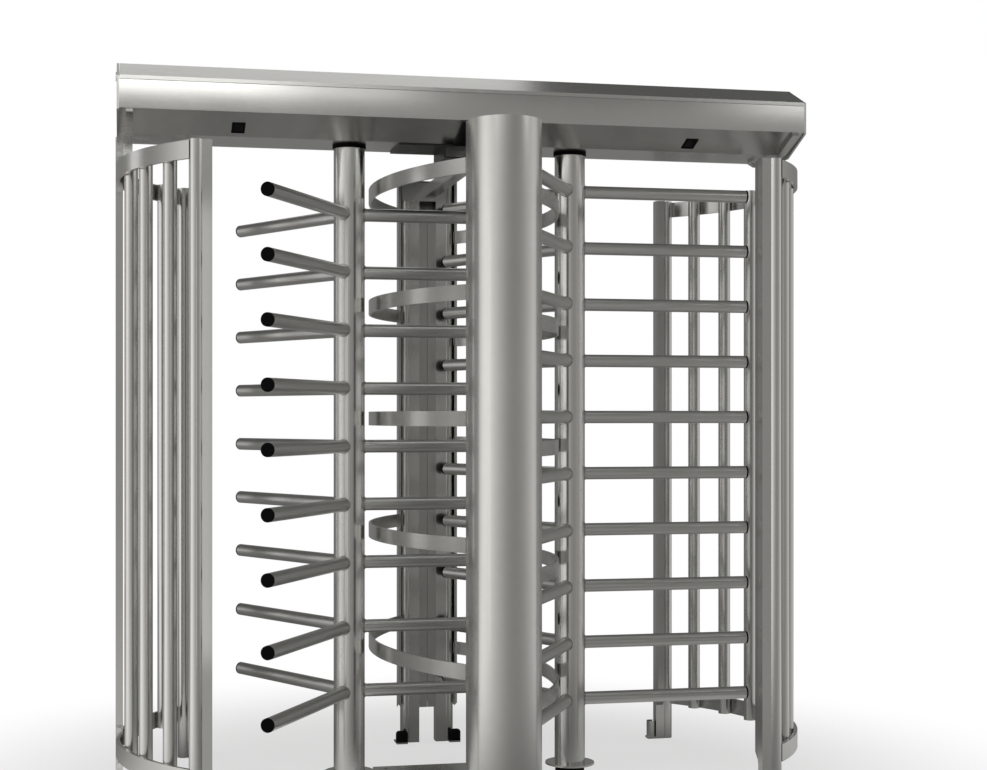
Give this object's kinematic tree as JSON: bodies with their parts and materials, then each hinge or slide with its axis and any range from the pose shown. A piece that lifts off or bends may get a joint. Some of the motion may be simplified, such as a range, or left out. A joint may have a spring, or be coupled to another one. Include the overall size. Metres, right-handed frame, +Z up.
{
  "type": "full-height turnstile",
  "caption": "Double full-height turnstile in satin stainless steel: interleaved three-wing rotors, curved barrier bands, side cages and a header with a hinged lid",
  "frame": {"origin": "on the floor, midway between the two rotor axes", "axes": "+Z up, +X along the header to the right, +Y through the lanes away from the front"},
  "size_m": [2.252, 1.47, 2.3095],
  "materials": {
    "stainless": "satin",
    "bright_steel": "polished",
    "zinc_steel": "zinc plated",
    "painted_box": "matt",
    "black_plastic": "matt",
    "dark_lens": "gloss"
  },
  "bodies": {
    "frame": {"band_bolts": "bright_steel", "band_lugs": "stainless", "barrier_left": "stainless", "barrier_right": "stainless", "base_bearings": "bright_steel", "base_hubs": "black_plastic", "base_tie_plate": "stainless", "cage_end_stiles": "stainless", "cage_left_bands": "stainless", "cage_left_bars": "stainless", "cage_left_legs": "stainless", "cage_right_bands": "stainless", "cage_right_bars": "stainless", "cage_right_legs": "stainless", "control_units": "painted_box", "foot_covers": "black_plastic", "foot_lugs": "stainless", "header_brackets": "stainless", "header_end_plate_left": "stainless", "header_end_plate_right": "stainless", "header_rails": "zinc_steel", "header_saddle": "stainless", "header_tray": "stainless", "hydraulic_dampers": "zinc_steel", "lane_indicator_bezels": "black_plastic", "lane_indicator_lenses": "dark_lens", "lid_hinge_leaves_fixed": "stainless", "lid_hinge_pins": "bright_steel", "mechanism_plates": "zinc_steel", "pillar_inner_panels": "stainless", "pillar_legs_front": "stainless", "pillar_legs_rear": "stainless", "pillar_shell_front": "stainless", "pillar_shell_rear": "stainless", "shaft_seals": "black_plastic", "side_column_left": "stainless", "side_column_right": "stainless", "solenoids": "zinc_steel", "tie_beam": "stainless", "top_bearings": "bright_steel"},
    "rotor_left": {"rotor_left_pole": "stainless", "rotor_left_arms": "stainless", "rotor_left_arm_caps": "black_plastic", "rotor_left_base_flange": "stainless", "rotor_left_top_shaft": "bright_steel", "rotor_left_lock_disc": "zinc_steel"},
    "rotor_right": {"rotor_right_pole": "stainless", "rotor_right_arms": "stainless", "rotor_right_arm_caps": "black_plastic", "rotor_right_base_flange": "stainless", "rotor_right_top_shaft": "bright_steel", "rotor_right_lock_disc": "zinc_steel"},
    "roof_lid": {"roof_lid": "stainless", "lid_hinge_leaves_moving": "stainless"},
    "lid_lock_left": {"lid_lock_left": "bright_steel"},
    "lid_lock_right": {"lid_lock_right": "bright_steel"},
    "lock_pawl_left": {"lock_pawl_left": "zinc_steel"},
    "lock_pawl_right": {"lock_pawl_right": "zinc_steel"}
  },
  "joints": [
    {"name": "rotor_left_turn", "type": "hinge", "parent": "frame", "child": "rotor_left", "pos_m": [-0.375, 0, 1], "axis": [0, 0, 1], "continuous": true},
    {"name": "rotor_right_turn", "type": "hinge", "parent": "frame", "child": "rotor_right", "pos_m": [0.375, 0, 1], "axis": [0, 0, 1], "continuous": true},
    {"name": "roof_lid_hinge", "type": "hinge", "parent": "frame", "child": "roof_lid", "pos_m": [0, 0.246, 2.243], "axis": [-1, 0, 0], "range_deg": [0, 95]},
    {"name": "lid_lock_left_turn", "type": "hinge", "parent": "frame", "child": "lid_lock_left", "pos_m": [-1.11, -0.15, 2.256], "axis": [-1, 0, 0], "range_deg": [0, 90]},
    {"name": "lid_lock_right_turn", "type": "hinge", "parent": "frame", "child": "lid_lock_right", "pos_m": [1.11, -0.15, 2.256], "axis": [-1, 0, 0], "range_deg": [0, 90]},
    {"name": "lock_pawl_left_swing", "type": "hinge", "parent": "frame", "child": "lock_pawl_left", "pos_m": [-0.484, 0.075, 2.164], "axis": [0, 0, 1], "range_deg": [0, 10], "stiffness_Nm_per_rad": 0.5},
    {"name": "lock_pawl_right_swing", "type": "hinge", "parent": "frame", "child": "lock_pawl_right", "pos_m": [0.484, 0.075, 2.164], "axis": [0, 0, -1], "range_deg": [0, 10], "stiffness_Nm_per_rad": 0.5}
  ]
}
